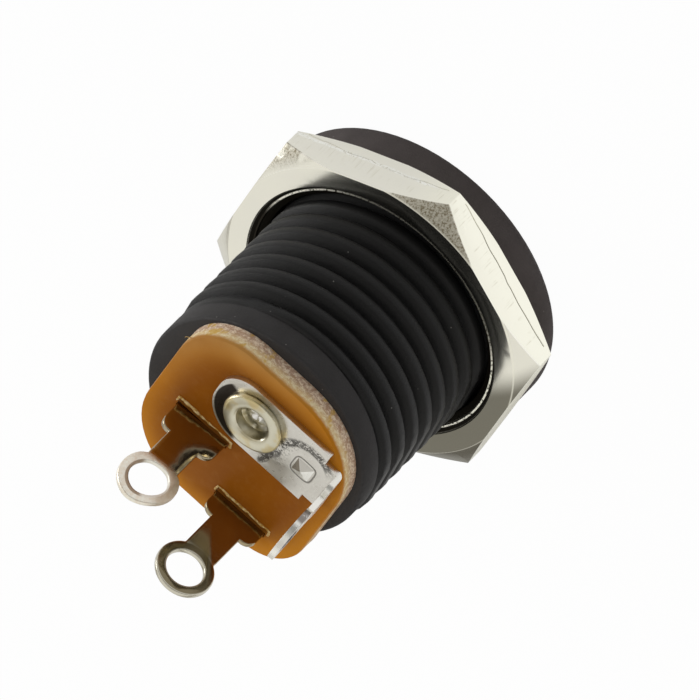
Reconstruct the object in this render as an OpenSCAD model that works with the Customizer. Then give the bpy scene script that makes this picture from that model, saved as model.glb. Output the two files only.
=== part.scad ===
// Panel-mount DC barrel jack with a threaded plastic body and three solder lugs.
// The front face of the flange lies on z = 0 and the barrel's axis is the Z axis.
// The terminals stand up from the rear end, towards +Z.

/* [Flange] */
// Diameter of the round flange that sits on the front of the panel
flange_d = 14; // [13.6:0.1:16]
// Thickness of the flange
flange_t = 1.5; // [1.2:0.1:2]
// Rounding of the flange's front edge
flange_round = 0.25; // [0.1:0.05:0.5]

/* [Barrel] */
// Depth from the flange's front face to the barrel's rear end
barrel_l = 11.85; // [11.5:0.05:14]
// Diameter over the crests of the thread
thread_d = 11.12; // [11:0.02:11.4]
// Pitch of the right-hand thread
thread_pitch = 1; // [0.8:0.05:1.25]
// Depth of the thread's grooves
thread_depth = 0.38; // [0.25:0.01:0.42]
// Distance across the two flats that the mould's parting line leaves on the thread
parting_flats = 10.8; // [10.7:0.05:11]
// Direction of the parting flats, as an angle about the axis
parting_angle = 94.5; // [0:0.5:180]
// Diameter of the plain land behind the thread
land_d = 10.78; // [10.7:0.02:11]
// Length of the plain land
land_l = 1.1; // [0.8:0.05:1.6]

/* [Plug socket] */
// Diameter of the hole that takes the plug's sleeve
socket_d = 5.8; // [5.6:0.05:5.9]
// Offset of the socket's axis from the barrel's axis, along X
socket_x = 1.85; // [1.7:0.05:1.95]
// Offset of the socket's axis from the barrel's axis, along Y
socket_y = 0.1; // [-0.1:0.05:0.1]
// Diameter of the centre pin
pin_d = 2; // [1.6:0.1:2.5]
// Depth of the pin's tip behind the front face
pin_setback = 0.9; // [0.4:0.1:2]

/* [Hex nut] */
// How much less the nut measures across its flats than the flange
nut_inset = 0; // [0:0.1:0.6]
// Thickness of the nut
nut_t = 1.9; // [1.5:0.1:2.5]
// Steepness of the nut's corner chamfers, in degrees from its faces
nut_chamfer = 31; // [20:1:38]

/* [Terminal plate] */
// Width of the plate along X
plate_w = 9.88; // [9.6:0.02:10.2]
// Height of the plate along Y
plate_h = 9.14; // [8.9:0.02:9.4]
// Thickness of the plate
plate_t = 1; // [0.8:0.05:1.5]
// Offset of the plate's middle from the barrel's axis, along X
plate_x = -0.28; // [-0.3:0.02:0.1]
// Offset of the plate's middle from the barrel's axis, along Y
plate_y = -0.21; // [-0.25:0.01:0.2]
// Corner radius of the plate beside the switch contact
plate_switch_r = 3.4; // [2.6:0.1:3.8]
// Corner radius of the plate beside the pin's flared end
plate_pin_r = 2.8; // [2.6:0.1:3.8]
// Corner radius of the plate beside the bracket's lug
plate_bracket_r = 3.9; // [2.8:0.1:4]
// Radius of the plate's one squarer corner, beside the sleeve spring
plate_key_r = 2.3; // [1.8:0.1:3]

/* [Terminals] */
// Thickness of the metal strip
strip_t = 0.25; // [0.2:0.05:0.35]
// Width of a lug's base, where it leaves the plate
lug_base_w = 2.68; // [2.4:0.04:2.8]
// Width of a lug's stem
lug_stem_w = 1.55; // [1.2:0.05:1.8]
// Outer diameter of a lug's ring
lug_ring_d = 2.6; // [2.4:0.02:2.8]
// Diameter of the hole for the wire
lug_eye_d = 1.7; // [1.4:0.05:1.9]
// Height of the ring's centre above the plate
lug_h = 4.05; // [3.6:0.05:5]
// Height of the rounded shoulders of the switch contact's lug above the plate
switch_shoulder = 1.4; // [1.1:0.1:1.6]
// Height of the rounded shoulders of the sleeve spring's lug above the plate
spring_shoulder = 1.1; // [0.9:0.1:1.6]
// Height of the rounded shoulders of the bracket's lug above the plate
pin_shoulder = 1.2; // [1:0.1:1.5]
// Height of the bracket's ring above the plate, measured to its centre
pin_lug_h = 3.15; // [2.8:0.05:4]
// Width of the flat bracket under the pin's flared end
bracket_w = 3.6; // [3.3:0.1:3.8]
// Outward lean of the bracket's lug, in degrees
lug_lean = 2; // [0:1:6]

/* [Hidden] */
$fn = 64;
// Small overlap that joins solids and clears cuts
eps = 0.05;
// Free play between a pin or strip and the hole that holds it
play = 0.04;

// Thread: radii, ends and the helix
crest_r = thread_d / 2;
root_r = crest_r - thread_depth;
land_r = land_d / 2;
thread_end = barrel_l - land_l;
// Height of one crest at angle 0, chosen so that the last ridge dies out near the land
crest_z = thread_end - 0.36;
// Angle about the axis at which the last ridge dies out
runout_angle = 15;
// Angular width of that run-out
runout_width = 22;
// Columns of the thread's surface round the barrel
columns = 48;
// One ridge across its pitch: [place from -0.5 to 0.5, height from 0 to 1]
ridge = [[-0.36, 0.26], [-0.25, 0.86], [-0.16, 1], [0.16, 1],
    [0.25, 0.86], [0.36, 0.26], [0.45, 0], [0.55, 0]];
knots = len(ridge);

// Socket and the web that closes it
web_t = 1.65;
socket_floor = barrel_l - web_t;
socket_r = socket_d / 2;
socket_left = socket_x - socket_r;
mouth_chamfer = 0.3;

// Pin
pin_r = pin_d / 2;
collar_r = pin_r + 0.65;
collar_t = 0.5;
neck_r = 1.1;
flare_r = 1.42;
eyelet_r = 0.85;
flare_t = 0.45;
hole_depth = 1.5;
// Funnel at the hole's mouth and cone at its bottom
funnel = 0.2;
cone_h = eyelet_r / 2;
drill_r = 0.1;

// Terminal plate: its edges and its upper face
plate_x0 = plate_x - plate_w / 2;
plate_y0 = plate_y - plate_h / 2;
plate_top = barrel_l + plate_t;

// Contacts: front face of each upright blade and the middle of its lug
switch_x = socket_left + 0.15;
switch_y = 1.69;
spring_x = -3.67;
spring_y = -1.8;
base_seat = 0.55;
seat_z = barrel_l - base_seat;
// Contacts inside the housing
spring_inner_w = 1.6;
switch_inner_w = 1.3;
switch_depth = 6.6;
switch_tip_z = barrel_l - switch_depth;
// Spring: depths behind the barrel's rear end at which its blade bends
knee_depth = 2.4;
rest_depth = 5.4;
heel_depth = 7.2;
heel_lift = 1.3;
widen_depth = 3.2;
// Rib that the plug's sleeve slides over
rib_r = 1.1;
rib_rise = 0.35;
rib_w = 1.6;

// Pocket for the contacts: its wall, ends and edges
pocket_wall = 0.36;
pocket_floor = 0.5;
pocket_gap = 0.1;
pocket_r = root_r - pocket_wall;
pocket_x0 = spring_x - strip_t - pocket_gap;
pocket_half = 2.95;
pocket_z0 = flange_t + pocket_floor;

// Bracket of the pin's terminal
bracket_x = socket_x - 0.1;
bracket_y1 = 2.08;
// Corner radii of the bracket's far end: beside the switch contact and on the other side
bracket_inner_r = 1.75;
bracket_outer_r = 1.35;
bracket_notch_y = -3.38;
bend_y = -4.3;
bend_r = 0.35;
bend_w = 2.55;
// The bend and the dimple lie a little to one side of the bracket's middle
bend_x = bracket_x - 0.12;
dimple_x = bracket_x - 0.11;
dimple_y = -2.78;
dimple_w = 0.9;
dimple_tip = 0.15;
dimple_h = 0.12;
// Diameters round the corners of the square dimple's foot and tip
dimple_foot_d = dimple_w * sqrt(2);
dimple_tip_d = dimple_tip * sqrt(2);

// Nut
nut_bore_r = crest_r + 0.05;
nut_mouth = 0.7;
nut_mouth_r = nut_bore_r + nut_mouth;
nut_af = flange_d - nut_inset;
nut_face_r = nut_af / 2 + 0.1;
nut_corner_r = nut_af / sqrt(3);
nut_angle = 1;
nut_z = flange_t;

plastic = [0.09, 0.09, 0.1];
nickel = [0.86, 0.84, 0.78];
phenolic = [0.72, 0.42, 0.13];

// ---- thread ----

// Smooth step from 0 to 1
function ease(t) =
    let (c = max(0, min(1, t)))
    c * c * (3 - 2 * c);

// Height of the crest that a row of the surface belongs to, in one column
function row_crest(row, a) =
    crest_z + thread_pitch * (a / 360 + floor(row / knots) - turns_below);

// Whole turns of the helix below the reference crest, with one turn to spare
turns_below = ceil((crest_z - flange_t) / thread_pitch) + 1;
// Rows of the surface from the flange to the land, with one turn to spare at each end
rows = (turns_below + 3) * knots;

// Height of a row before it is held between the thread's two ends
function row_raw_z(row, a) = row_crest(row, a) + thread_pitch * ridge[row % knots][0];

// Height of a row. Rows past an end are packed closely beside that end.
function row_z(row, a) =
    let (z = row_raw_z(row, a), low = flange_t - 0.2, packing = 0.01)
    z < low ? low - (low - z) * packing
    : z > thread_end ? thread_end + (z - thread_end) * packing
    : z;

// Angle from a parting flat's middle, from 0 to 90
function from_parting(a) =
    let (d = (a - parting_angle) % 180, e = d < 0 ? d + 180 : d)
    min(e, 180 - e);

// Radius of a row: the ridge, faded to the land past the run-out, cut by the flats
function row_r(row, a) =
    let (
        last = crest_z + thread_pitch * runout_angle / 360,
        fade_z = thread_pitch * runout_width / 360,
        here = 1 - ease((row_crest(row, a) - last) / fade_z),
        ridge_r = root_r + thread_depth * ridge[row % knots][1],
        free_r = land_r + (ridge_r - land_r) * here,
        flat_r = parting_flats / 2 / cos(from_parting(a)),
        past = row_raw_z(row, a) > thread_end
    )
    past ? land_r - eps : min(free_r, flat_r);

// Right-handed thread as one closed surface, from inside the flange to inside the land
module thread() {
    low_z = flange_t - 0.4;
    high_z = thread_end + 0.3;
    count = rows + 2;
    step = 360 / columns;
    points = [
        for (c = [0 : columns - 1])
            let (a = c * step)
            for (k = [-1 : rows])
                let (
                    r = k < 0 ? root_r : k == rows ? land_r - eps : row_r(k, a),
                    z = k < 0 ? low_z : k == rows ? high_z : row_z(k, a)
                )
                [r * cos(a), r * sin(a), z]
    ];
    // Between neighbouring columns, row by row; the last strip climbs one turn
    strips = [
        for (c = [0 : columns - 1])
            let (
                seam = c == columns - 1,
                left = c * count,
                right = (seam ? 0 : c + 1) * count,
                climb = seam ? knots : 0
            )
            each concat(
                [[left, right, right + 1], [left, right + 1, left + 1]],
                seam ? [for (k = [1 : climb]) [left + 1, right + k, right + k + 1]] : [],
                [
                    for (k = [1 : rows - 1 - climb])
                        each [
                            [left + k, right + k + climb, right + k + climb + 1],
                            [left + k, right + k + climb + 1, left + k + 1]
                        ]
                ],
                seam ? [for (k = [rows - climb : rows - 1]) [left + k, right + rows, left + k + 1]] : [],
                [[left + rows, right + rows, right + rows + 1],
                    [left + rows, right + rows + 1, left + rows + 1]]
            )
    ];
    lower = [for (c = [0 : columns - 1]) c * count];
    upper = [for (c = [columns - 1 : -1 : 0]) c * count + rows + 1];
    faces = [
        for (f = concat(strips, [lower, upper]))
            [for (i = [len(f) - 1 : -1 : 0]) f[i]]
    ];
    polyhedron(points = points, faces = faces);
}

// ---- housing ----

// Round flange with a rounded front edge
module flange() {
    r = flange_d / 2;
    rear = flange_round / 2;
    rotate_extrude()
        union() {
            translate([0, flange_round]) square([r, flange_t - flange_round - rear]);
            square([r - flange_round, flange_round]);
            translate([0, flange_t - rear - eps]) square([r - rear, rear + eps]);
            translate([r - flange_round, flange_round]) circle(r = flange_round);
            translate([r - rear, flange_t - rear]) circle(r = rear);
        }
}

// Plain cylinder behind the thread, with a rounded rear edge
module land() {
    edge = 0.15;
    translate([0, 0, thread_end]) cylinder(r = land_r, h = land_l - edge);
    translate([0, 0, thread_end]) cylinder(r = land_r - edge, h = land_l);
    translate([0, 0, barrel_l - edge])
        rotate_extrude()
            translate([land_r - edge, 0]) circle(r = edge);
}

// Hole for the plug, open at the front, with a chamfered mouth
module socket_bore() {
    translate([socket_x, socket_y, -eps]) cylinder(r = socket_r, h = socket_floor + eps);
    translate([socket_x, socket_y, -eps])
        cylinder(r1 = socket_r + mouth_chamfer + eps, r2 = socket_r, h = mouth_chamfer + eps);
}

// Space beside the socket in which the spring moves
module contact_pocket() {
    intersection() {
        cylinder(r = pocket_r, h = barrel_l + eps);
        translate([pocket_x0, -pocket_half, pocket_z0])
            cube([switch_x - pocket_x0, pocket_half * 2, barrel_l - pocket_z0 + eps]);
    }
}

// Shallow seat for a lug's wide base, in the barrel's rear end
module base_recess(x, y) {
    translate([x - strip_t - play, y - lug_base_w / 2 - play, seat_z])
        cube([strip_t + 2 * play, lug_base_w + 2 * play, base_seat + eps]);
}

// Hole through the web for the pin's neck
module neck_hole() {
    translate([socket_x, socket_y, socket_floor - eps])
        cylinder(r = neck_r + play, h = web_t + 2 * eps);
}

module housing() {
    color(plastic)
        difference() {
            union() {
                flange();
                thread();
                land();
            }
            socket_bore();
            contact_pocket();
            base_recess(spring_x, spring_y);
            base_recess(switch_x, switch_y);
            neck_hole();
        }
}

// ---- nut ----

// Corner chamfer's profile height at the hexagon's corners
function nut_drop() = (nut_corner_r - nut_face_r) * tan(nut_chamfer);

module hex_nut() {
    drop = nut_drop();
    mouth = nut_mouth_r - nut_bore_r;
    color(nickel)
        translate([0, 0, nut_z])
            difference() {
                intersection() {
                    rotate([0, 0, nut_angle])
                        linear_extrude(nut_t) circle(r = nut_corner_r, $fn = 6);
                    rotate_extrude()
                        polygon([
                            [0, 0],
                            [nut_face_r, 0],
                            [nut_corner_r, drop],
                            [nut_corner_r, nut_t - drop],
                            [nut_face_r, nut_t],
                            [0, nut_t]
                        ]);
                }
                translate([0, 0, -eps]) cylinder(r = nut_bore_r, h = nut_t + 2 * eps);
                translate([0, 0, -eps])
                    cylinder(r1 = nut_mouth_r + eps, r2 = nut_bore_r, h = mouth * 0.6 + eps);
                translate([0, 0, nut_t - mouth * 0.6])
                    cylinder(r1 = nut_bore_r, r2 = nut_mouth_r + eps, h = mouth * 0.6 + eps);
            }
}

// ---- terminal plate ----

// Rectangle with four different round corners
module plate_outline() {
    x1 = plate_x0 + plate_w;
    y1 = plate_y0 + plate_h;
    polygon([
        [plate_x0, plate_y0 + plate_key_r],
        [plate_x0 + plate_key_r, plate_y0],
        [x1 - plate_bracket_r, plate_y0],
        [x1, plate_y0 + plate_bracket_r],
        [x1, y1 - plate_pin_r],
        [x1 - plate_pin_r, y1],
        [plate_x0 + plate_switch_r, y1],
        [plate_x0, y1 - plate_switch_r]
    ]);
    translate([plate_x0 + plate_key_r, plate_y0 + plate_key_r]) circle(r = plate_key_r);
    translate([x1 - plate_bracket_r, plate_y0 + plate_bracket_r]) circle(r = plate_bracket_r);
    translate([x1 - plate_pin_r, y1 - plate_pin_r]) circle(r = plate_pin_r);
    translate([plate_x0 + plate_switch_r, y1 - plate_switch_r]) circle(r = plate_switch_r);
}

// Slot through the plate for one lug
module lug_slot(x, y) {
    translate([x - strip_t - play, y - lug_base_w / 2 - play, barrel_l - eps])
        cube([strip_t + 2 * play, lug_base_w + 2 * play, plate_t + 2 * eps]);
}

module terminal_plate() {
    color(phenolic)
        difference() {
            translate([0, 0, barrel_l]) linear_extrude(plate_t) plate_outline();
            lug_slot(spring_x, spring_y);
            lug_slot(switch_x, switch_y);
            translate([socket_x, socket_y, barrel_l - eps])
                cylinder(r = neck_r + play, h = plate_t + 2 * eps);
        }
}

// ---- centre pin ----

// Turned pin: rounded tip, collar against the web, hollow tail flared over the bracket
module centre_pin() {
    tip_round = pin_r * 0.55;
    web_z = socket_floor;
    flare_z = plate_top + strip_t;
    tail_h = flare_z - web_z;
    color(nickel)
        translate([socket_x, socket_y, 0])
            difference() {
                union() {
                    translate([0, 0, pin_setback + tip_round])
                        cylinder(r = pin_r, h = web_z - pin_setback - tip_round);
                    translate([0, 0, pin_setback])
                        cylinder(r1 = pin_r - tip_round, r2 = pin_r, h = tip_round);
                    translate([0, 0, web_z - collar_t]) cylinder(r = collar_r, h = collar_t);
                    translate([0, 0, web_z - eps]) cylinder(r = neck_r, h = tail_h + 2 * eps);
                    translate([0, 0, flare_z])
                        rotate_extrude()
                            polygon([
                                [0, 0],
                                [flare_r, 0],
                                [flare_r, flare_t * 0.35],
                                [flare_r - 0.12, flare_t * 0.75],
                                [flare_r - 0.35, flare_t],
                                [0, flare_t]
                            ]);
                }
                translate([0, 0, flare_z + flare_t - hole_depth])
                    cylinder(r = eyelet_r, h = hole_depth + eps);
                translate([0, 0, flare_z + flare_t - hole_depth - cone_h])
                    cylinder(r1 = drill_r, r2 = eyelet_r, h = cone_h);
                translate([0, 0, flare_z + flare_t - funnel])
                    cylinder(r1 = eyelet_r, r2 = eyelet_r + funnel, h = funnel);
            }
}

// ---- lugs ----

// Outline of a solder lug: foot below the line y = 0, base with rounded shoulders, stem, ring
module lug_outline(height, shoulder, foot, base_w) {
    corner = 0.5;
    half = base_w / 2;
    difference() {
        union() {
            translate([-half, -foot]) square([base_w, foot + shoulder - corner]);
            translate([corner - half, 0]) square([base_w - 2 * corner, shoulder]);
            for (side = [-1, 1])
                translate([side * (half - corner), shoulder - corner]) circle(r = corner);
            translate([-lug_stem_w / 2, 0]) square([lug_stem_w, height - lug_eye_d / 2]);
            translate([0, height]) circle(d = lug_ring_d);
        }
        translate([0, height]) circle(d = lug_eye_d);
    }
}

// Upright lug of strip metal in a plane across X; its front face is at x
module upright_lug(x, y, shoulder) {
    translate([x - strip_t, y, plate_top])
        rotate([90, 0, 90])
            linear_extrude(strip_t)
                lug_outline(lug_h, shoulder, plate_t + base_seat, lug_base_w);
}

// Outline of the flat bracket, with two round corners at its far end
module bracket_outline() {
    left = bracket_x - bracket_w / 2;
    right = bracket_x + bracket_w / 2;
    polygon([
        [left, bracket_notch_y],
        [right, bracket_notch_y],
        [right, bracket_y1 - bracket_outer_r],
        [right - bracket_outer_r, bracket_y1],
        [left + bracket_inner_r, bracket_y1],
        [left, bracket_y1 - bracket_inner_r]
    ]);
    translate([left + bracket_inner_r, bracket_y1 - bracket_inner_r]) circle(r = bracket_inner_r);
    translate([right - bracket_outer_r, bracket_y1 - bracket_outer_r]) circle(r = bracket_outer_r);
}

// Bracket clamped by the pin's flared end, punched dimple, bend and third lug
module pin_terminal() {
    top = plate_top + strip_t;
    color(nickel)
        difference() {
            union() {
                translate([0, 0, plate_top]) linear_extrude(strip_t) bracket_outline();
                // Narrower neck that runs into the bend
                translate([bend_x - bend_w / 2, bend_y + bend_r, plate_top])
                    cube([bend_w, bracket_notch_y - bend_y - bend_r + eps, strip_t]);
                // The bend and, leaning slightly outwards, the lug
                translate([bend_x - bend_w / 2, bend_y + bend_r, plate_top + bend_r])
                    rotate([90, 0, 90]) strip_bend(90 - lug_lean, bend_w);
                translate([bend_x, bend_y + bend_r, plate_top + bend_r])
                    rotate([lug_lean, 0, 0])
                        translate([0, strip_t - bend_r, 0])
                            rotate([90, 0, 0])
                                linear_extrude(strip_t)
                                    lug_outline(pin_lug_h - bend_r, pin_shoulder - bend_r, 0, bend_w);
                // Square dimple, punched up from below
                translate([dimple_x, dimple_y, top - eps])
                    rotate([0, 0, 45])
                        cylinder(d1 = dimple_foot_d, d2 = dimple_tip_d, h = dimple_h + eps, $fn = 4);
            }
            translate([socket_x, socket_y, plate_top - eps])
                cylinder(r = neck_r + play, h = strip_t + 2 * eps);
        }
}

// Strip bent round by an angle, ending upwards; the strip's width lies along Z
module strip_bend(angle, width) {
    rotate_extrude(angle = angle, start = 270 - angle)
        translate([bend_r - strip_t, 0]) square([strip_t, width]);
}

// Spring that touches the plug's sleeve; its upper end is the second lug
module sleeve_spring() {
    back = spring_x - strip_t;
    touch_x = switch_x - strip_t;
    knee_z = barrel_l - knee_depth;
    rest_z = barrel_l - rest_depth;
    heel_z = barrel_l - heel_depth;
    end_z = heel_z - heel_lift;
    blade = [
        [back, seat_z + eps],
        [back, knee_z],
        [touch_x - strip_t, rest_z],
        [touch_x - strip_t, heel_z],
        [touch_x - strip_t - heel_lift, end_z],
        [touch_x - heel_lift, end_z - strip_t],
        [touch_x, heel_z - strip_t / 3],
        [touch_x, rest_z + strip_t / 3],
        [spring_x, knee_z + strip_t / 3],
        [spring_x, seat_z + eps]
    ];
    wide_y0 = spring_y - spring_inner_w / 2;
    wide_y1 = switch_y + switch_inner_w / 2 - play;
    color(nickel) {
        upright_lug(spring_x, spring_y, spring_shoulder);
        // Blade inside the housing: narrow above the knee, wide below it
        intersection() {
            translate([0, wide_y1, 0])
                rotate([90, 0, 0])
                    linear_extrude(wide_y1 - wide_y0) polygon(blade);
            union() {
                translate([back - eps, wide_y0 - eps, 0])
                    cube([pocket_r, spring_inner_w + eps, barrel_l]);
                translate([back - eps, wide_y0 - eps, 0])
                    cube([pocket_r, wide_y1 - wide_y0 + 2 * eps, barrel_l - widen_depth]);
            }
        }
        intersection() {
            translate([touch_x + rib_rise - rib_r, socket_y + rib_w / 2, (rest_z + heel_z) / 2])
                rotate([90, 0, 0])
                    cylinder(r = rib_r, h = rib_w);
            translate([touch_x - strip_t, socket_y - rib_w / 2, heel_z])
                cube([strip_t + rib_rise, rib_w, rest_z - heel_z]);
        }
    }
}

// Fixed contact that the spring leaves when a plug goes in; its upper end is the first lug
module switch_contact() {
    color(nickel) {
        upright_lug(switch_x, switch_y, switch_shoulder);
        translate([switch_x - strip_t, switch_y - switch_inner_w / 2, switch_tip_z])
            cube([strip_t, switch_inner_w, seat_z - switch_tip_z + eps]);
    }
}

housing();
hex_nut();
terminal_plate();
centre_pin();
pin_terminal();
sleeve_spring();
switch_contact();
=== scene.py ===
import math

import bpy
from mathutils import Matrix, Vector, noise


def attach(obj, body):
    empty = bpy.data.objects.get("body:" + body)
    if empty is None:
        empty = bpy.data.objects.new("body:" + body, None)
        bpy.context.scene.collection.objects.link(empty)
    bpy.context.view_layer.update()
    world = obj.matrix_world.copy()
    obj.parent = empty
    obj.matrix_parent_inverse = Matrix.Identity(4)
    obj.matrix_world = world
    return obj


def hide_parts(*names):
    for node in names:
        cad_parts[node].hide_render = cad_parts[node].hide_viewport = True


# A panel-mount DC barrel jack, standing on the flat face of its flange with its
# three solder lugs upwards. Everything is in metres, in the part's own frame.
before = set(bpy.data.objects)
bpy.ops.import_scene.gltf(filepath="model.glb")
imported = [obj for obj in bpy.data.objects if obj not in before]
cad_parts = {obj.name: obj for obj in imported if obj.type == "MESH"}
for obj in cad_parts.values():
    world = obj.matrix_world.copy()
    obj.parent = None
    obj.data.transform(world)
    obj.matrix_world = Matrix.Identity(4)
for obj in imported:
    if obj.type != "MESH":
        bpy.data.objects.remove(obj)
bpy.ops.object.select_all(action="DESELECT")
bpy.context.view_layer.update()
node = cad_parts
bpy.context.scene.view_settings.view_transform = "Standard"

# ---------------------------------------------------------------- camera
# A long lens, 0.83 m away and 38 degrees above the flange's plane, rolled so that
# the barrel runs from the upper right to the lower left.
distance = 0.8333
view_width = 0.02909393
roll_cos, roll_sin = 0.7056, 0.7086
sight = Vector((0.7872, -0.0620, 0.6137))
rise = Vector((-0.6117, 0.0482, 0.7896))
across = Vector((0.0785, 0.9969, 0.0))
right = -roll_cos * rise - roll_sin * across
up = -roll_sin * rise + roll_cos * across
aim = right * -0.002715 + up * -0.003514
place = sight * distance
view_line = (place - aim).normalized()
side = up.cross(view_line).normalized()
top = view_line.cross(side)
bpy.ops.object.camera_add(location=place)
camera = bpy.context.object
camera.name = "camera"
camera.rotation_mode = "QUATERNION"
camera.rotation_quaternion = Matrix((side, top, view_line)).transposed().to_quaternion()
camera.data.sensor_width = 36
camera.data.lens = camera.data.sensor_width * distance / view_width
camera.data.clip_start = 0.05
camera.data.clip_end = 10
bpy.context.scene.camera = camera
bpy.ops.object.select_all(action="DESELECT")


# ---------------------------------------------------------------- floor and light
# A plain white table in a light tent. The tent is pale, darker near the horizon,
# overhead and on the camera's side, and one soft lamp stands low on the left.
class Value:
    """A number or colour that varies over a surface; sums of them add Math nodes."""

    def __init__(self, finish, out):
        self.finish = finish
        self.out = out

    def maths(self, operation, *values):
        return self.finish.add("ShaderNodeMath", {"operation": operation}, *values)

    def __add__(self, other):
        return self.maths("ADD", self, other)

    def __radd__(self, other):
        return self.maths("ADD", other, self)

    def __sub__(self, other):
        return self.maths("SUBTRACT", self, other)

    def __rsub__(self, other):
        return self.maths("SUBTRACT", other, self)

    def __mul__(self, other):
        return self.maths("MULTIPLY", self, other)

    def __truediv__(self, other):
        return self.maths("DIVIDE", self, other)

    def __pow__(self, other):
        return self.maths("POWER", self, other)

    def smaller(self, other):
        return self.maths("MINIMUM", self, other)

    def larger(self, other):
        return self.maths("MAXIMUM", self, other)

    def size(self):
        return self.maths("ABSOLUTE", self)

    def ramp(self, low, high):
        """0 below low, 1 above high, smooth between them."""
        return self.finish.add(
            "ShaderNodeMapRange",
            {"interpolation_type": "SMOOTHSTEP"},
            self,
            low,
            high,
            0.0,
            1.0,
        )


class Finish:
    """One material: its shader, and the values and patterns that feed it."""

    def __init__(self, name, **constants):
        self.material = bpy.data.materials.new(name)
        self.material.use_nodes = True
        self.tree = self.material.node_tree
        self.shader = self.tree.nodes["Principled BSDF"]
        for socket, value in constants.items():
            self.shader.inputs[socket.replace("_", " ")].default_value = value
        self.place = self.add("ShaderNodeTexCoord", {}, output="Object")

    def add(self, kind, settings, *values, output=0, **named):
        made = self.tree.nodes.new(kind)
        for name, value in settings.items():
            setattr(made, name, value)
        pairs = list(zip(made.inputs, values))
        pairs += [(made.inputs[n.replace("_", " ")], v) for n, v in named.items()]
        for socket, value in pairs:
            if isinstance(value, Value):
                self.tree.links.new(value.out, socket)
            else:
                socket.default_value = value
        return Value(self, made.outputs[output])

    def axes(self):
        """The three coordinates in millimetres."""
        parts = self.tree.nodes.new("ShaderNodeSeparateXYZ")
        self.tree.links.new(self.place.out, parts.inputs[0])
        return [Value(self, out) * 1000.0 for out in parts.outputs]

    def noise(self, per_mm, detail=2.0, rough=0.5, stretch=(1, 1, 1)):
        """A cloudy pattern from 0 to 1, with so many waves to the millimetre."""
        where = self.add(
            "ShaderNodeMapping",
            {},
            self.place,
            Scale=tuple(per_mm * 1000.0 * s for s in stretch),
        )
        return self.add(
            "ShaderNodeTexNoise",
            {"noise_dimensions": "3D"},
            Vector=where,
            Scale=1.0,
            Detail=detail,
            Roughness=rough,
            Distortion=0.0,
        )

    def cells(self, per_mm):
        """Distance to the nearest of many scattered points."""
        where = self.add(
            "ShaderNodeMapping", {}, self.place, Scale=(per_mm * 1000.0,) * 3
        )
        return self.add(
            "ShaderNodeTexVoronoi",
            {"feature": "F1"},
            Vector=where,
            Scale=1.0,
            output="Distance",
        )

    def blend(self, share, first, second):
        """first where share is 0, second where it is 1."""
        mixed = self.tree.nodes.new("ShaderNodeMix")
        mixed.data_type = "RGBA"
        for socket, value in (
            (mixed.inputs[0], share),
            (mixed.inputs[6], first),
            (mixed.inputs[7], second),
        ):
            if isinstance(value, Value):
                self.tree.links.new(value.out, socket)
            else:
                socket.default_value = value
        return Value(self, mixed.outputs[2])

    def set(self, socket, value):
        self.tree.links.new(value.out, self.shader.inputs[socket])

    def relief(self, height, depth_mm, sharpness=1.0):
        """Fine relief of the surface: height from 0 to 1, over a depth in millimetres."""
        bump = self.add(
            "ShaderNodeBump",
            {},
            Strength=sharpness,
            Distance=depth_mm / 1000.0,
            Height=height,
        )
        self.set("Normal", bump)

    def give(self, *pieces):
        for piece in pieces:
            piece.data.materials.clear()
            piece.data.materials.append(self.material)


white_table = Finish("white_table", Base_Color=(0.85, 0.85, 0.85, 1), Roughness=0.9)
seen = white_table.add("ShaderNodeLightPath", {}, output="Is Camera Ray")
mirrored = white_table.add("ShaderNodeLightPath", {}, output="Is Glossy Ray")
paper = white_table.add("ShaderNodeEmission", {}, (1, 1, 1, 1), 1.0)
# For mirror rays the table glows, a painted reflection of light: brightest in a patch
# behind the nut's right side, and darkest in front of the lugs.
x, y, z = white_table.axes()
mirror_glow_patch = (x - y).ramp(6.0, 12.0) * (1.0 - x.ramp(11.0, 15.0))
painted_glow_in_mirrors = 0.2 + x.ramp(-1.0, 5.0) * 0.32 + mirror_glow_patch * 0.48
table_mix = white_table.add(
    "ShaderNodeMixShader",
    {},
    seen * 0.97 + mirrored * painted_glow_in_mirrors,
    Value(white_table, white_table.shader.outputs[0]),
    paper,
)
white_table.tree.links.new(
    table_mix.out, white_table.tree.nodes["Material Output"].inputs["Surface"]
)
bpy.ops.mesh.primitive_plane_add(size=3, location=(0, 0, -0.00002))
table = bpy.context.object
table.name = "table"
white_table.give(table)
bpy.ops.object.select_all(action="DESELECT")

world = bpy.data.worlds.new("tent")
bpy.context.scene.world = world
world.use_nodes = True
sky = world.node_tree
direction = sky.nodes.new("ShaderNodeTexCoord")
split = sky.nodes.new("ShaderNodeSeparateXYZ")
sky.links.new(direction.outputs["Generated"], split.inputs[0])
shade = sky.nodes.new("ShaderNodeValToRGB")
horizon = (0.30, 0.28, 0.24, 1)
wall = (0.82, 0.81, 0.77, 1)
overhead = (0.50, 0.48, 0.44, 1)
stops = shade.color_ramp.elements
stops[1].position = 0.4
stops.new(0.8)
stops.new(1.0)
for stop, colour in zip(stops, (horizon, wall, wall, overhead)):
    stop.color = colour
sky.links.new(split.outputs["Z"], shade.inputs[0])
camera_side = {"From Min": 0.5, "From Max": 0.78, "To Min": 1.0, "To Max": 0.35}
dim = sky.nodes.new("ShaderNodeMapRange")
for socket, value in camera_side.items():
    dim.inputs[socket].default_value = value
sky.links.new(split.outputs["X"], dim.inputs["Value"])
tent = sky.nodes.new("ShaderNodeVectorMath")
tent.operation = "SCALE"
sky.links.new(shade.outputs[0], tent.inputs[0])
sky.links.new(dim.outputs["Result"], tent.inputs["Scale"])
sky.links.new(tent.outputs[0], sky.nodes["Background"].inputs["Color"])
sky.nodes["Background"].inputs["Strength"].default_value = 1.0


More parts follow.
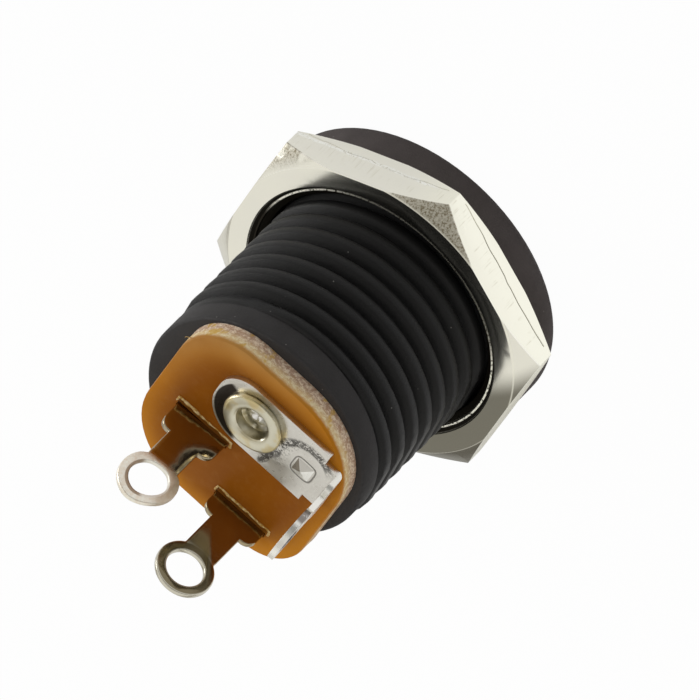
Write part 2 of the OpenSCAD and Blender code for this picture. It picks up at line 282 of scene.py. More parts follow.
def lamp(name, place, width, power):
    """A square soft lamp that faces the jack."""
    bpy.ops.object.light_add(type="AREA", location=place)
    made = bpy.context.object
    made.name = name
    made.data.size = width
    made.data.energy = power
    made.rotation_mode = "QUATERNION"
    made.rotation_quaternion = Vector(place).to_track_quat("Z", "Y")
    bpy.ops.object.select_all(action="DESELECT")


lamp("left_lamp", (-0.30, 0.80, 0.14), 0.4, 2.4)

# ---------------------------------------------------------------- housing
# One moulding of black plastic: the round flange, the barrel with its right-hand
# thread and two parting-line flats, the plain land and the plug's socket. The mould
# leaves a fine grain, and dust sits on it here and there.
mm = 0.001
thread_end = 10.75
flange_thick = 1.5


def pick(piece):
    """Makes the piece the only selected one and the active one."""
    bpy.ops.object.select_all(action="DESELECT")
    piece.select_set(True)
    bpy.context.view_layer.objects.active = piece


def whole_copy(solid, name):
    """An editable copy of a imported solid, with its flat faces whole again."""
    piece = bpy.data.objects.new(name, node[solid].data.copy())
    bpy.context.collection.objects.link(piece)
    piece.data.materials.clear()
    pick(piece)
    bpy.ops.object.mode_set(mode="EDIT")
    bpy.ops.mesh.select_all(action="SELECT")
    bpy.ops.mesh.remove_doubles(threshold=0.0005 * mm)
    bpy.ops.mesh.dissolve_limited(angle_limit=math.radians(0.3))
    bpy.ops.object.mode_set(mode="OBJECT")
    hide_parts(solid)
    return piece


def finish_piece(piece, body, smooth_angle):
    """Smooths the round faces, applies the place and hands the piece to its body."""
    pick(piece)
    bpy.ops.object.transform_apply(location=True, rotation=True, scale=True)
    bpy.ops.object.shade_smooth_by_angle(angle=math.radians(smooth_angle))
    bpy.ops.object.select_all(action="DESELECT")
    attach(piece, body)


housing = whole_copy("housing", "housing_moulding")
finish_piece(housing, "jack", 40)

black_plastic = Finish("black_plastic", Specular_IOR_Level=0.22)
x, y, z = black_plastic.axes()
land_zone = z.ramp(thread_end - 0.15, thread_end + 0.1)
flange_zone = 1.0 - z.ramp(flange_thick - 0.08, flange_thick + 0.1)
dull = black_plastic.noise(1.2, detail=4.0)
grain = black_plastic.noise(14.0, detail=3.0, rough=0.7)
dust = 1.0 - black_plastic.cells(1.3).ramp(0.02, 0.055)
paler = (land_zone * 0.6 + flange_zone).smaller(1.0)
thread_black = (0.0080, 0.0083, 0.0090, 1)
# The flange and the land are painted paler than the thread: a painted sheen of the light
# from above.
colour = black_plastic.blend(flange_zone, thread_black, (0.095, 0.080, 0.080, 1))
colour = black_plastic.blend(land_zone, colour, (0.042, 0.040, 0.042, 1))
colour = black_plastic.blend(dull * 0.35, colour, (0.012, 0.010, 0.010, 1))
colour = black_plastic.blend(dust * 0.5, colour, (0.3, 0.29, 0.28, 1))
black_plastic.set("Base Color", colour)
black_plastic.set("Roughness", 0.42 + paler * 0.2 + dull * 0.08)
black_plastic.relief(grain * 0.8 + dull * 0.4, 0.035, 0.7)
black_plastic.give(housing, node["housing"])

# ---------------------------------------------------------------- hex nut
# A nickel-plated brass nut, 14 mm across its flats, turned and chamfered at both
# faces and screwed up against the flange. Its sides keep the bar's drawn skin, with a
# seam near the front edge, and fine scratches across them.
nut_front = flange_thick
nut_thick = 1.9
nut_rear = nut_front + nut_thick
nut_flats = 14.0
nut_turn = math.radians(-29)
nut_points = nut_flats / math.sqrt(3)
nut_face = nut_flats / 2 + 0.1
nut_slope = math.tan(math.radians(31))
nut_drop = (nut_points - nut_face) * nut_slope
nut_bore = 5.63


def turned(name, profile, sides, centre=(0, 0)):
    """A body of revolution about Z: its profile is a list of (radius, height) in mm."""
    bpy.ops.object.select_all(action="DESELECT")
    first = profile[0]
    bpy.ops.mesh.primitive_circle_add(
        vertices=sides,
        radius=first[0] * mm,
        location=(centre[0] * mm, centre[1] * mm, first[1] * mm),
        fill_type="NGON",
    )
    made = bpy.context.object
    made.name = name
    bpy.ops.object.transform_apply(location=True, rotation=True, scale=True)
    bpy.ops.object.mode_set(mode="EDIT")
    bpy.ops.mesh.select_all(action="SELECT")
    for (r0, h0), (r1, h1) in zip(profile, profile[1:]):
        bpy.ops.mesh.extrude_region_move(
            TRANSFORM_OT_translate={"value": (0, 0, (h1 - h0) * mm)}
        )
        if r1 != r0:
            bpy.ops.transform.resize(
                value=(r1 / r0, r1 / r0, 1),
                center_override=(centre[0] * mm, centre[1] * mm, h1 * mm),
            )
    bpy.ops.mesh.select_all(action="SELECT")
    bpy.ops.mesh.normals_make_consistent(inside=False)
    bpy.ops.object.mode_set(mode="OBJECT")
    return made


def combine(piece, tool, operation):
    """Cuts the tool out of the piece, or keeps what both share."""
    pick(piece)
    bpy.ops.object.modifier_add(type="BOOLEAN")
    step = piece.modifiers[-1]
    step.object = tool
    step.operation = operation
    step.solver = "EXACT"
    bpy.ops.object.modifier_apply(modifier=step.name)
    bpy.data.objects.remove(tool)


def round_edges(piece, width, angle, segments=2):
    """Breaks the sharp edges by a small rounding."""
    pick(piece)
    bpy.ops.object.modifier_add(type="BEVEL")
    step = piece.modifiers[-1]
    step.width = width * mm
    step.segments = segments
    step.limit_method = "ANGLE"
    step.angle_limit = math.radians(angle)
    step.harden_normals = False
    bpy.ops.object.modifier_apply(modifier=step.name)


bpy.ops.mesh.primitive_cylinder_add(
    vertices=6,
    radius=nut_points * mm,
    depth=nut_thick * mm,
    location=(0, 0, (nut_front + nut_thick / 2) * mm),
    rotation=(0, 0, nut_turn),
)
nut = bpy.context.object
nut.name = "hex_nut_plated"
chamfers = turned(
    "chamfer_envelope",
    [
        (nut_face, nut_front),
        (nut_points + 0.01, nut_front + nut_drop * 0.75),
        (nut_points + 0.01, nut_rear - nut_drop),
        (nut_face, nut_rear),
    ],
    144,
)
combine(nut, chamfers, "INTERSECT")
bore = turned(
    "bore_cutter",
    [
        (6.3, nut_front - 0.01),
        (nut_bore, nut_front + 0.4),
        (nut_bore, nut_rear - 0.42),
        (5.9, nut_rear - 0.24),
        (5.94, nut_rear - 0.15),
        (6.02, nut_rear - 0.17),
        (6.24, nut_rear + 0.02),
    ],
    128,
)
combine(nut, bore, "DIFFERENCE")
round_edges(nut, 0.07, 30, 3)
# The seam of the bar's skin: a fine wandering groove on each side, near the front edge.
seam_steps = 22
seam_height = nut_front + 0.62
half = nut_flats / 2 * math.tan(math.radians(30)) - 0.5
out = nut_flats / 2 + 0.004
for side in range(6):
    outward = nut_turn + math.radians(60 * (side + 1))
    bpy.ops.object.select_all(action="DESELECT")
    bpy.ops.curve.primitive_nurbs_path_add()
    seam = bpy.context.object
    seam.data.splines.clear()
    spline = seam.data.splines.new("POLY")
    spline.points.add(seam_steps)
    for i in range(seam_steps + 1):
        along = half * (2 * i / seam_steps - 1)
        wander = noise.noise(Vector((i * 0.35, side * 7.3, 0.5))) * 0.1
        jog = 0.09 if along > 0.3 * math.sin(side * 2.1) else 0.0
        dip = 0.1 * (along / half) ** 4
        spline.points[i].co = (
            (out * math.cos(outward) - along * math.sin(outward)) * mm,
            (out * math.sin(outward) + along * math.cos(outward)) * mm,
            (seam_height + wander - jog - dip) * mm,
            1,
        )
    seam.data.bevel_depth = 0.03 * mm
    seam.data.bevel_resolution = 1
    seam.data.use_fill_caps = True
    bpy.ops.object.convert(target="MESH")
    combine(nut, bpy.context.object, "DIFFERENCE")
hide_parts("hex_nut")
finish_piece(nut, "nut", 35)

nut_nickel = Finish("nut_nickel", Metallic=1.0)
x, y, z = nut_nickel.axes()
radius = (x * x + y * y) ** 0.5
corner = (z + (radius - nut_face) * nut_slope).ramp(nut_rear - 0.08, nut_rear - 0.03)
corner = corner * radius.ramp(nut_face + 0.02, nut_face + 0.1)
rear_face = z.ramp(nut_rear - 0.06, nut_rear - 0.02)
rear_face = rear_face * (1.0 - radius.ramp(nut_face, nut_face + 0.06))
side_skin = 1.0 - (corner + rear_face).smaller(1.0)
strokes = nut_nickel.noise(9.0, detail=3.0, rough=0.7, stretch=(1, 1, 0.06))
cloud = nut_nickel.noise(0.5, detail=3.0)
pits = nut_nickel.noise(10.0, detail=4.0, rough=0.8)
patches = nut_nickel.noise(1.1, detail=3.0)
front_end = x.ramp(5.0, 6.5)
upper_end = (y + x * 0.5).ramp(7.9, 8.6) * patches.ramp(0.38, 0.5)
burnt = corner * (front_end + upper_end).smaller(1.0)
brushed = side_skin * z.ramp(nut_front + 0.45, nut_front + 0.8)
brushed = brushed * (1.0 - z.ramp(nut_rear - 0.75, nut_rear - 0.35))
brushed = brushed * patches.ramp(0.46, 0.58)
to_face = x * math.cos(nut_turn) + y * math.sin(nut_turn) - nut_flats / 2
seam_line = (1.0 - to_face.ramp(-0.025, -0.01)) * (x - y).ramp(8.2, 9.0) * side_skin
seam_line = seam_line * to_face.ramp(-0.1, -0.08)
seam_line = seam_line * z.ramp(nut_front + 0.25, nut_front + 0.35)
seam_line = seam_line * (1.0 - z.ramp(nut_front + 0.85, nut_front + 0.95))
# The rear face and chamfers are painted darker towards -Y: painted shade.
rear_painted_shade = (1.0 - side_skin) * (1.0 - (y + x * 0.6).ramp(-5.6, -4.0))
burr_line = radius.ramp(5.88, 5.92) * (1.0 - radius.ramp(6.0, 6.04))
burr_line = burr_line * strokes.ramp(0.38, 0.48)
burr_line = burr_line * (x - y * 0.35).ramp(-2.2, -0.6)
# Round the bore and in its countersink the nickel is painted dark, except along the
# broken burr line: a painted reflection of the dark barrel and painted shade in the
# countersink.
inside = (1.0 - radius.ramp(6.14, 6.2)) * (1.0 - burr_line)
# The seam's burr on the +Y sides: a real ridge in the relief, with painted glints on it
# and painted shade in the hollows between them.
scar_and_glints = (z - (nut_front + 0.58) + (patches - 0.5) * 0.3).size()
scar_and_glints = side_skin * (1.0 - scar_and_glints.ramp(0.04, 0.12)) * y.ramp(0.5, 1.5)
cream = nut_nickel.blend(cloud, (0.93, 0.915, 0.81, 1), (0.87, 0.855, 0.79, 1))
# The sides towards +X and -Y are painted paler and creamier: a painted reflection of the
# bright table beside them.
sides_painted_reflection = side_skin * (x - y).ramp(3.0, 9.0)
cream = nut_nickel.blend(sides_painted_reflection, cream, (0.99, 0.975, 0.85, 1))
scratched = strokes.ramp(0.5, 0.7) * brushed * 0.45
cream = nut_nickel.blend(scratched, cream, (0.6, 0.56, 0.42, 1))
cream = nut_nickel.blend(scar_and_glints * pits.ramp(0.42, 0.5), cream, (1.0, 1.0, 0.95, 1))
scar_pit_shade = scar_and_glints * (1.0 - pits.ramp(0.36, 0.44)) * 0.7
cream = nut_nickel.blend(scar_pit_shade, cream, (0.45, 0.42, 0.32, 1))
pitted = burnt * (0.45 + pits.ramp(0.45, 0.6) * 0.5)
cream = nut_nickel.blend(pitted, cream, (0.20, 0.165, 0.10, 1))
cream = nut_nickel.blend(rear_painted_shade * 0.9, cream, (0.125, 0.115, 0.085, 1))
cream = nut_nickel.blend(seam_line * 0.9, cream, (0.12, 0.10, 0.06, 1))
cream = nut_nickel.blend(inside, cream, (0.035, 0.03, 0.022, 1))
nut_nickel.set("Base Color", cream)
dullness = side_skin * 0.16 + burnt * 0.2 + inside * 0.3 + cloud * 0.05
nut_nickel.set("Roughness", 0.16 + dullness)
nut_nickel.relief(
    strokes * brushed * 0.5 + pits * burnt + scar_and_glints * pits + cloud * 0.6, 0.03, 0.5
)
nut_nickel.give(nut, node["hex_nut"])

# ---------------------------------------------------------------- terminal plate
# A plate of brown phenolic board, 1 mm thick, sheared to shape. Its faces are painted a
# little paler towards the rim, standing in for light that enters the board at its edge,
# and a painted waxy sheen runs along the rim on the +X and +Y sides. Its sheared edge
# shows the pale fibres.
plate_low = (-5.22, -4.78)
plate_high = (4.66, 4.36)
plate_z = (11.85, 12.85)
plate_corners = ((-1, -1, 2.3), (1, -1, 3.9), (1, 1, 2.8), (-1, 1, 3.4))
plate_layers = 8
plate_middle = ((plate_low[0] + plate_high[0]) / 2, (plate_low[1] + plate_high[1]) / 2)
plate_half = ((plate_high[0] - plate_low[0]) / 2, (plate_high[1] - plate_low[1]) / 2)
socket = (1.85, 0.1)
neck = 1.14
strip = 0.25
switch = (-0.9, 1.69)
spring = (-3.67, -1.8)
base_width = 2.68
slot_room = 0.04

bpy.ops.mesh.primitive_plane_add(
    size=1, location=(plate_middle[0] * mm, plate_middle[1] * mm, plate_z[0] * mm)
)
plate = bpy.context.object
plate.name = "phenolic_plate"
plate.scale = (plate_half[0] * 2 * mm, plate_half[1] * 2 * mm, 1)
bpy.ops.object.transform_apply(location=True, rotation=True, scale=True)
for sign_x, sign_y, radius in plate_corners:
    at = Vector(
        (
            (plate_middle[0] + sign_x * plate_half[0]) * mm,
            (plate_middle[1] + sign_y * plate_half[1]) * mm,
            plate_z[0] * mm,
        )
    )
    bpy.ops.object.mode_set(mode="EDIT")
    bpy.ops.mesh.select_all(action="DESELECT")
    bpy.ops.mesh.select_mode(type="VERT")
    bpy.ops.object.mode_set(mode="OBJECT")
    for corner_point in plate.data.vertices:
        corner_point.select = (corner_point.co - at).length < 0.01 * mm
    bpy.ops.object.mode_set(mode="EDIT")
    bpy.ops.mesh.bevel(offset=radius * mm, segments=14, affect="VERTICES")
    bpy.ops.object.mode_set(mode="OBJECT")
bpy.ops.object.mode_set(mode="EDIT")
bpy.ops.mesh.select_all(action="SELECT")
layer_rise = (plate_z[1] - plate_z[0]) / plate_layers * mm
for _ in range(plate_layers):
    bpy.ops.mesh.extrude_region_move(TRANSFORM_OT_translate={"value": (0, 0, layer_rise)})
bpy.ops.mesh.select_all(action="SELECT")
bpy.ops.mesh.normals_make_consistent(inside=False)
bpy.ops.object.mode_set(mode="OBJECT")


def block(name, low, high):
    """A rectangular block between two corners in mm."""
    bpy.ops.object.select_all(action="DESELECT")
    middle = [(a + b) / 2 * mm for a, b in zip(low, high)]
    bpy.ops.mesh.primitive_cube_add(size=1, location=middle)
    made = bpy.context.object
    made.name = name
    made.scale = [(b - a) * mm for a, b in zip(low, high)]
    bpy.ops.object.transform_apply(location=True, rotation=True, scale=True)
    return made


# The sheared edge: its middle is torn back unevenly and its upper rim is rolled over.
for point in plate.data.vertices:
    height = (point.co.z / mm - plate_z[0]) / (plate_z[1] - plate_z[0])
    out = point.co / mm - Vector((*plate_middle, 0))
    out.z = 0
    roll = 0.07 * max(0.0, (height - 0.8) / 0.2) ** 2
    torn = 0.0
    if 0.1 < height < 0.95:
        torn = 0.03 * (0.5 + 0.5 * noise.noise(point.co / mm * 2.3))
    point.co -= out.normalized() * (roll + torn) * mm
for name, (front, middle) in (("switch_slot", switch), ("spring_slot", spring)):
    combine(
        plate,
        block(
            name,
            (
                front - strip - slot_room,
                middle - base_width / 2 - slot_room,
                plate_z[0] - 0.05,
            ),
            (front + 0.012, middle + base_width / 2 + slot_room, plate_z[1] + 0.05),
        ),
        "DIFFERENCE",
    )
combine(
    plate,
    turned("pin_hole", [(neck, plate_z[0] - 0.1), (neck, plate_z[1] + 0.1)], 48, socket),
    "DIFFERENCE",
)
round_edges(plate, 0.02, 40)


# The board's torn lips along the slots wander at random, the same way each time.
noise.seed_set(7)
lip_step = 0.08
lip_shake = 0.05
lip_thick = 0.1
fibre_thick = 0.02


def burr(name, path, thick):
    """A ragged raised lip along a path of points in mm."""
    bpy.ops.object.select_all(action="DESELECT")
    bpy.ops.curve.primitive_nurbs_path_add()
    lip = bpy.context.object
    lip.name = name
    lip.data.splines.clear()
    spline = lip.data.splines.new("POLY")
    fine = []
    for a, b in zip(path, path[1:]):
        count = max(2, int(math.dist(a, b) / lip_step))
        for i in range(count):
            fine.append([p + (q - p) * i / count for p, q in zip(a, b)])
    fine.append(list(path[-1]))
    spline.points.add(len(fine) - 1)
    for i, p in enumerate(fine):
        shake = noise.noise_vector(Vector(p) * 3.1) * lip_shake
        spline.points[i].co = (
            (p[0] + shake.x) * mm,
            (p[1] + shake.y) * mm,
            (p[2] + shake.z * 0.6) * mm,
            1,
        )
        spline.points[i].radius = 0.7 + 0.5 * noise.noise(Vector(p) * 4.7)
    lip.data.bevel_depth = thick * mm
    lip.data.bevel_resolution = 2
    lip.data.use_fill_caps = True
    bpy.ops.object.convert(target="MESH")
    return bpy.context.object


lips = []
for name, (front, middle) in (("switch_burr", switch), ("spring_burr", spring)):
    low, high = middle - base_width / 2 - 0.08, middle + base_width / 2 + 0.08
    level = plate_z[1] - 0.01
    lips.append(
        burr(
            name,
            [
                (front + 0.02, high + 0.02, level),
                (front + 0.3, high, level),
                (front + 0.3, low, level),
                (front + 0.02, low - 0.04, level),
            ],
            lip_thick,
        )
    )
stray_path = [(2.8, 4.2, 12.8), (2.82, 4.4, 12.95), (2.95, 4.42, 13.12)]
lips.append(burr("stray_fibre", stray_path, fibre_thick))
bpy.ops.object.select_all(action="DESELECT")
for lip in lips:
    lip.select_set(True)
plate.select_set(True)
bpy.context.view_layer.objects.active = plate
bpy.ops.object.join()
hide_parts("terminal_plate")
finish_piece(plate, "jack", 40)

phenolic = Finish("phenolic", Specular_IOR_Level=0.06)
x, y, z = phenolic.axes()
from_x = ((x - plate_middle[0]) / plate_half[0]).size()
from_y = ((y - plate_middle[1]) / plate_half[1]).size()
# Painted light: paler towards the rim, and a painted waxy sheen along the +X and +Y rim.
rimward_painted_light = (from_x * from_x * from_x + from_y * from_y * from_y).ramp(0.3, 1.1)
rim_painted_sheen = rimward_painted_light * (x * 0.8 + y * 0.6).ramp(1.5, 5.0)
cloud = phenolic.noise(0.35, detail=2.0)
weave = phenolic.noise(3.0, detail=4.0, rough=0.65)
face = phenolic.blend(rimward_painted_light, (0.265, 0.078, 0.004, 1), (0.60, 0.23, 0.012, 1))
face = phenolic.blend(rim_painted_sheen, face, (0.52, 0.26, 0.070, 1))
face = phenolic.blend(cloud.ramp(0.35, 0.7) * 0.4, face, (0.36, 0.118, 0.007, 1))
face = phenolic.blend(weave.ramp(0.45, 0.75) * 0.1, face, (0.5, 0.25, 0.08, 1))
fibre = phenolic.noise(4.5, detail=4.0, rough=0.8, stretch=(1, 1, 1.6))
deep = 1.0 - z.ramp(plate_z[0] + 0.25, plate_z[1] - 0.28)
torn_colour = phenolic.blend(deep, (0.82, 0.60, 0.32, 1), (0.56, 0.36, 0.25, 1))
pale_fibre = phenolic.blend(deep, (0.95, 0.82, 0.56, 1), (0.95, 0.78, 0.62, 1))
edge_colour = phenolic.blend(fibre.ramp(0.44, 0.6), torn_colour, pale_fibre)
amber = phenolic.noise(2.0, detail=2.0).ramp(0.58, 0.70) * 0.75
edge_colour = phenolic.blend(amber, edge_colour, (0.70, 0.43, 0.07, 1))
below = 1.0 - (z + weave * 0.12).ramp(plate_z[1] - 0.24, plate_z[1] - 0.02)
lip_zone = z.ramp(plate_z[1] + 0.008, plate_z[1] + 0.02)
face = phenolic.blend(below, face, edge_colour)
golden = phenolic.blend(
    fibre.ramp(0.4, 0.6), (0.50, 0.28, 0.06, 1), (0.85, 0.68, 0.36, 1)
)
face = phenolic.blend(lip_zone * 0.85, face, golden)
# In front of each slot, at the blade's foot, the board is painted dark: painted shade of
# the narrow slot.
for front, middle in (switch, spring):
    slot_foot_shade = ((x - front - 0.16).size()).ramp(0.1, 0.16)
    slot_foot_shade = slot_foot_shade.larger((y - middle).size().ramp(base_width / 2, base_width / 2 + 0.06))
    face = phenolic.blend((1.0 - slot_foot_shade) * 0.6, face, (0.11, 0.045, 0.008, 1))
phenolic.set("Base Color", face)
phenolic.set("Roughness", 0.34 + below * 0.35 + weave * 0.1)
phenolic.relief(weave * 0.25 + fibre * below, 0.06, 0.6)
phenolic.give(plate, node["terminal_plate"])

# ---------------------------------------------------------------- switch and spring lugs
# Two blades punched from thin nickel-plated strip. Each ends in a solder lug with
# rounded shoulders and a ring. The switch contact's lug is twisted a little, so that it
# mirrors the bracket's end, and its ring leans back.
switch_lug = whole_copy("switch_contact", "switch_lug")
spring_lug = whole_copy("sleeve_spring", "spring_lug")
plate_top = plate_z[1]
eye_height = plate_top + 4.05
eye_radius = 0.85
lug_bend = math.radians(5)


def slice_faces(piece, cuts):
    """Cuts the faces by planes, each a point in mm and a normal, so they can bend."""
    pick(piece)
    bpy.ops.object.mode_set(mode="EDIT")
    for point, normal in cuts:
        bpy.ops.mesh.select_all(action="SELECT")
        bpy.ops.mesh.bisect(plane_co=[c * mm for c in point], plane_no=normal)
    bpy.ops.object.mode_set(mode="OBJECT")


for lug in (switch_lug, spring_lug):
    round_edges(lug, 0.05, 40, 3)
slice_faces(
    switch_lug,
    [((0, 0, plate_top + 0.4 + 0.16 * i), (0, 0, 1)) for i in range(18)]
    + [((0, switch[1] - 0.75 + 0.12 * i, 0), (0, 1, 0)) for i in range(12)],
)
for point in switch_lug.data.vertices:
    above = point.co.z / mm - plate_top
    twist = max(0.0, min(1.0, above / 0.35)) * math.tan(lug_bend)
    point.co.x -= (point.co.y - switch[1] * mm) * twist
    share = max(0.0, min(1.0, point.co.y / mm - 0.8))
    point.co.x -= max(0.0, above - 2.9) * share * math.sin(lug_bend) * mm
    bent = max(0.0, min(1.0, (above - 2.7) / 0.6))
    point.co += Vector((0.08, -0.02, -0.08)) * bent * mm
for lug in (switch_lug, spring_lug):
    finish_piece(lug, "jack", 35)

strip_nickel = Finish("strip_nickel", Metallic=1.0)
cloud = strip_nickel.noise(0.8, detail=3.0)
fine = strip_nickel.noise(7.0, detail=3.0, rough=0.7)
metal = strip_nickel.blend(cloud, (0.50, 0.42, 0.28, 1), (0.36, 0.29, 0.17, 1))
metal = strip_nickel.blend(fine.ramp(0.6, 0.8) * 0.4, metal, (0.22, 0.17, 0.09, 1))
x, y, z = strip_nickel.axes()
ry = y - spring[1]
rz = z - eye_height
from_eye = (ry * ry + rz * rz) ** 0.5
# The ring's outer and inner edges are painted pale: painted highlights on the rounded
# edges.
ring_edge_highlight = from_eye.ramp(1.2, 1.26)
ring_edge_highlight = ring_edge_highlight + (1.0 - from_eye.ramp(eye_radius + 0.05, eye_radius + 0.1))
ring_edge_highlight = ring_edge_highlight.smaller(1.0) * z.ramp(eye_height - 1.3, eye_height - 1.0)
olive = z.ramp(eye_height - 1.5, eye_height - 1.0) * 0.8
metal = strip_nickel.blend(olive, metal, (0.17, 0.145, 0.09, 1))
metal = strip_nickel.blend(ring_edge_highlight * 0.7, metal, (0.88, 0.85, 0.74, 1))
strip_nickel.set("Base Color", metal)
strip_nickel.set("Roughness", 0.08 + cloud * 0.1 + fine * 0.08)
strip_nickel.relief(fine * 0.3 + cloud, 0.02, 0.4)
strip_nickel.give(spring_lug, node["sleeve_spring"])

ring_nickel = Finish("switch_lug_nickel", Metallic=1.0)
x, y, z = ring_nickel.axes()
up_the_lug = z.ramp(eye_height - 1.35, eye_height - 0.95)
cloud = ring_nickel.noise(0.8, detail=3.0)
fine = ring_nickel.noise(6.0, detail=3.0, rough=0.7)
ry = y - switch[1]
rz = z - eye_height
from_eye = (ry * ry + rz * rz) ** 0.5
# The wall round the eye is painted bright, a painted highlight, and its far side is
# painted dark brown, painted shade.
eye_wall = 1.0 - from_eye.ramp(eye_radius + 0.08, eye_radius + 0.12)
far_wall_shade = eye_wall * (ry + rz * 0.6).ramp(0.1, 0.4)
# The ring's -Y side is painted brown: a painted reflection of the plate.
plate_reflection_side = (1.0 - (ry + rz * 0.3).ramp(-0.95, -0.35)) * up_the_lug
metal = ring_nickel.blend(cloud, (0.52, 0.46, 0.34, 1), (0.40, 0.34, 0.24, 1))
pink = ring_nickel.blend(
    fine.ramp(0.35, 0.65), (0.93, 0.84, 0.72, 1), (1.0, 0.97, 0.88, 1)
)
metal = ring_nickel.blend(up_the_lug, metal, pink)
metal = ring_nickel.blend(plate_reflection_side * 0.5, metal, (0.42, 0.28, 0.14, 1))
metal = ring_nickel.blend(eye_wall * 0.8, metal, (0.97, 0.95, 0.88, 1))
metal = ring_nickel.blend(far_wall_shade * 0.8, metal, (0.30, 0.18, 0.09, 1))
ring_nickel.set("Base Color", metal)
ring_nickel.set("Roughness", 0.09 + up_the_lug * 0.3 + fine * 0.06)
ring_nickel.relief(fine * 0.3 + cloud, 0.02, 0.4)
ring_nickel.give(switch_lug, node["switch_contact"])

# ---------------------------------------------------------------- bracket
# The pin's terminal: a flat bracket clamped on the plate, with a raised square point in
# a shallow rounded impression, then a bend and the third lug, which stands edge on.
bracket = whole_copy("pin_terminal", "pin_bracket")
bracket_top = plate_top + strip
dimple = (1.64, -2.78)
dimple_half = (0.44, 0.42)
round_edges(bracket, 0.045, 40, 5)
for point in bracket.data.vertices:
    near = max(abs(point.co.x / mm - dimple[0]), abs(point.co.y / mm - dimple[1]))
    if near < 0.4 and point.co.z / mm > bracket_top - 0.01:
        if near > 0.2:
            wider = [half / near for half in dimple_half]
            point.co.x = (dimple[0] + (point.co.x / mm - dimple[0]) * wider[0]) * mm
            point.co.y = (dimple[1] + (point.co.y / mm - dimple[1]) * wider[1]) * mm
        else:
            point.co.z += 0.05 * mm
finish_piece(bracket, "jack", 20)

tinned = Finish("tinned_strip", Metallic=1.0)
x, y, z = tinned.axes()
cloud = tinned.noise(0.9, detail=3.0)
fine = tinned.noise(6.0, detail=4.0, rough=0.75)
scuff = tinned.noise(3.4, detail=4.0, rough=0.8, stretch=(1.6, 0.8, 1))
dx = x - dimple[0]
dy = y - dimple[1]
ring = (dx * dx + dy * dy) ** 0.5
# Scuffs in an arc round the dimple, a stain and fine scratches beside the eyelet.
level = z.ramp(bracket_top - 0.06, bracket_top - 0.02)
level = level * (1.0 - z.ramp(bracket_top + 0.3, bracket_top + 0.5))
speckle = (fine.ramp(0.42, 0.56) + scuff.ramp(0.50, 0.56)).smaller(1.0)
halo = ring.ramp(1.08, 1.2) * (1.0 - ring.ramp(1.45, 1.65)) * speckle
halo = halo * (dx * 0.8 + dy * 0.6).ramp(-0.2, 0.5)
px = (x - 0.6) / 0.62
py = (y + 1.22 + (x - 0.6) * 0.2) / 0.24
patch = (1.0 - (px * px + py * py).ramp(0.5, 1.2)) * fine.ramp(0.38, 0.5)
scribble = ring.ramp(0.75, 0.9) * (1.0 - ring.ramp(1.2, 1.5)) * fine.ramp(0.52, 0.58)
scribble = scribble * dy.ramp(0.4, 1.0)
# The rounded groove round the dimple, painted dark as shade, and the point's sides:
# painted shade towards eyelet and barrel, painted highlight on the others.
square = dx.size().larger(dy.size())
rounded = (dx * dx * dx * dx + dy * dy * dy * dy) ** 0.25
moat_and_shade = rounded.ramp(0.50, 0.53) * (1.0 - rounded.ramp(0.56, 0.60))
inside = 1.0 - square.ramp(0.42, 0.44)
eyelet_side_shade = inside * (dy - dx.size()).ramp(-0.01, 0.02)
barrel_side_shade = inside * (dx - dy.size()).ramp(-0.01, 0.02)
# The dark crescent on the bracket's end, beyond the eyelet: a painted reflection of the
# dark barrel.
ex = x - 2.0
ey = y + 0.03
barrel_reflection_crescent = ((ex * ex + ey * ey) ** 0.5).ramp(1.3, 1.36) * y.ramp(0.2, 0.5)
fx = x - 1.75
fy = y - 0.28
barrel_reflection_crescent = barrel_reflection_crescent * (1.0 - ((fx * fx + fy * fy) ** 0.5).ramp(1.69, 1.75))
barrel_reflection_crescent = barrel_reflection_crescent * (1.0 - (x - y * 0.3).ramp(2.15, 2.4)) * fine.ramp(0.22, 0.3)
lug_patch = z.ramp(plate_top + 2.35, plate_top + 2.5) * fine.ramp(0.3, 0.45)
lug_patch = lug_patch * (1.0 - z.ramp(plate_top + 3.25, plate_top + 3.45))
metal = tinned.blend(cloud, (0.84, 0.82, 0.78, 1), (0.68, 0.66, 0.62, 1))
metal = tinned.blend(scribble * level * 0.6, metal, (0.2, 0.19, 0.17, 1))
metal = tinned.blend(halo * level * 0.85, metal, (0.05, 0.047, 0.043, 1))
metal = tinned.blend(patch * level * 0.9, metal, (0.06, 0.055, 0.05, 1))
# Painted shade in the groove and on two sides of the point, painted highlight on its
# other sides.
metal = tinned.blend(moat_and_shade * level * 0.7, metal, (0.08, 0.075, 0.065, 1))
metal = tinned.blend(eyelet_side_shade * 0.85, metal, (0.16, 0.13, 0.09, 1))
metal = tinned.blend(barrel_side_shade * 0.3, metal, (0.3, 0.28, 0.25, 1))
sides_painted_highlight = inside * (1.0 - eyelet_side_shade) * (1.0 - barrel_side_shade)
metal = tinned.blend(sides_painted_highlight, metal, (0.98, 0.98, 0.95, 1))
metal = tinned.blend(barrel_reflection_crescent * level * 0.97, metal, (0.03, 0.022, 0.018, 1))
metal = tinned.blend(1.0 - y.ramp(-4.15, -3.95), metal, (0.95, 0.94, 0.88, 1))
up_the_lug = z.ramp(bracket_top + 0.4, bracket_top + 0.7)
metal = tinned.blend(up_the_lug, metal, (1.0, 0.99, 0.94, 1))
metal = tinned.blend(lug_patch * 0.8, metal, (0.12, 0.09, 0.08, 1))
tinned.set("Base Color", metal)
tinned.set("Roughness", 0.2 + fine * 0.2)
tinned.relief(fine * 0.35 + scuff * 0.7 + cloud * 1.4 - moat_and_shade, 0.035, 0.5)
tinned.give(bracket, node["pin_terminal"])

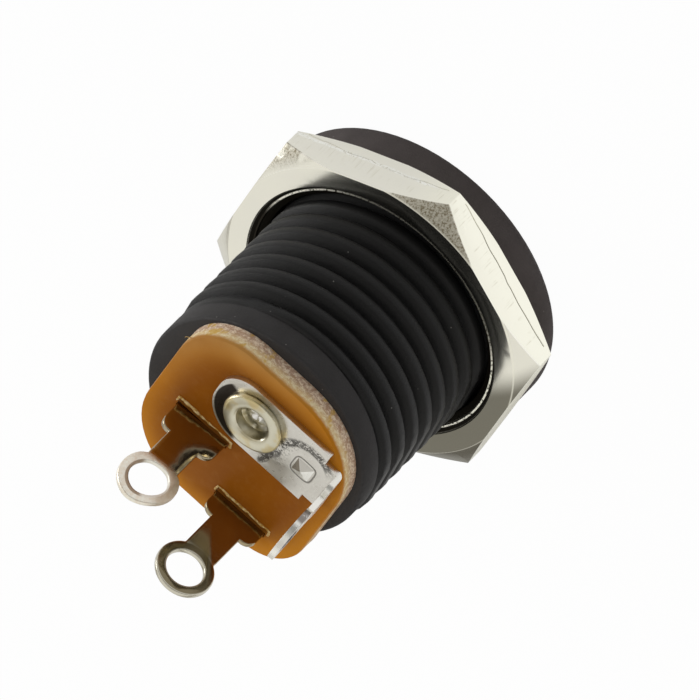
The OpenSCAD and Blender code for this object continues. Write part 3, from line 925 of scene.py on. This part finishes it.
# ---------------------------------------------------------------- centre pin
# A turned and nickel-plated pin. Its hollow tail comes through the plate and the
# bracket and is flared over them like an eyelet, with a soft matt rim.
tail = bracket_top
pin_radius = 1.0
shoulder = 1.65
shoulder_z = (9.7, 10.2)
stem = 1.1
rim = 1.43
rim_shift = (0.12, -0.1)
pin = turned(
    "centre_pin_turned",
    [
        (0.3, 0.93),
        (0.62, 1.05),
        (0.88, 1.3),
        (pin_radius, 1.7),
        (pin_radius, shoulder_z[0]),
        (shoulder, shoulder_z[0]),
        (shoulder, shoulder_z[1]),
        (stem, shoulder_z[1]),
        (stem, tail),
        (1.34, tail),
        (1.4, tail + 0.06),
        (rim, tail + 0.16),
        (rim, tail + 0.27),
        (1.39, tail + 0.33),
        (1.28, tail + 0.36),
        (1.02, tail + 0.34),
        (0.88, tail + 0.32),
        (0.8, tail + 0.27),
        (0.77, tail + 0.15),
        (0.76, tail - 0.3),
        (0.62, tail - 0.42),
        (0.5, tail - 0.36),
        (0.25, tail - 0.3),
        (0.08, tail - 0.34),
    ],
    64,
    socket,
)
for point in pin.data.vertices:
    above = point.co.z / mm - tail
    if above > -0.6:
        far = Vector((point.co.x / mm - socket[0], point.co.y / mm - socket[1], 0))
        if far.length < 0.7:
            point.co.z += noise.noise(point.co / mm * 4.0) * 0.16 * mm
        elif far.length > 1.1:
            point.co.z += noise.noise(point.co / mm * 1.4) * 0.04 * mm
        share = max(0.0, min(1.0, above / 0.3))
        point.co.x += rim_shift[0] * share * mm
        point.co.y += rim_shift[1] * share * mm
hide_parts("centre_pin")
finish_piece(pin, "jack", 40)

pin_nickel = Finish("pin_nickel", Metallic=1.0)
x, y, z = pin_nickel.axes()
cloud = pin_nickel.noise(0.9, detail=3.0)
fine = pin_nickel.noise(6.0, detail=4.0, rough=0.75)
ex = x - socket[0] - rim_shift[0]
ey = y - socket[1] - rim_shift[1]
far = (ex * ex + ey * ey) ** 0.5
stain = far.ramp(0.8, 1.0) * cloud.ramp(0.45, 0.6)
lip_line = far.ramp(0.74, 0.8) * (1.0 - far.ramp(0.86, 0.92)) * cloud.ramp(0.35, 0.5)
rim_line = far.ramp(rim - 0.1, rim - 0.06) * (1.0 - far.ramp(rim - 0.03, rim))
rim_line = rim_line * fine.ramp(0.4, 0.5)
# On its -X side the funnel of the hole is painted dark: painted shade in the hollow.
funnel_shade = far.ramp(0.5, 0.62) * (1.0 - far.ramp(0.76, 0.82))
funnel_shade = funnel_shade * (1.0 - ex.ramp(-0.35, 0.25))
metal = pin_nickel.blend(cloud, (0.80, 0.78, 0.66, 1), (0.66, 0.62, 0.47, 1))
metal = pin_nickel.blend(stain * 0.55, metal, (0.70, 0.52, 0.16, 1))
metal = pin_nickel.blend(lip_line * 0.5, metal, (0.35, 0.28, 0.12, 1))
metal = pin_nickel.blend(rim_line * 0.5, metal, (0.40, 0.33, 0.14, 1))
metal = pin_nickel.blend(1.0 - far.ramp(0.6, 0.75), metal, (0.95, 0.94, 0.92, 1))
metal = pin_nickel.blend(funnel_shade * 0.7, metal, (0.22, 0.20, 0.14, 1))
pin_nickel.set("Base Color", metal)
pin_nickel.set("Roughness", 0.22 + fine * 0.2)
pin_nickel.relief(fine * 0.4 + cloud, 0.02, 0.4)
pin_nickel.give(pin, node["centre_pin"])
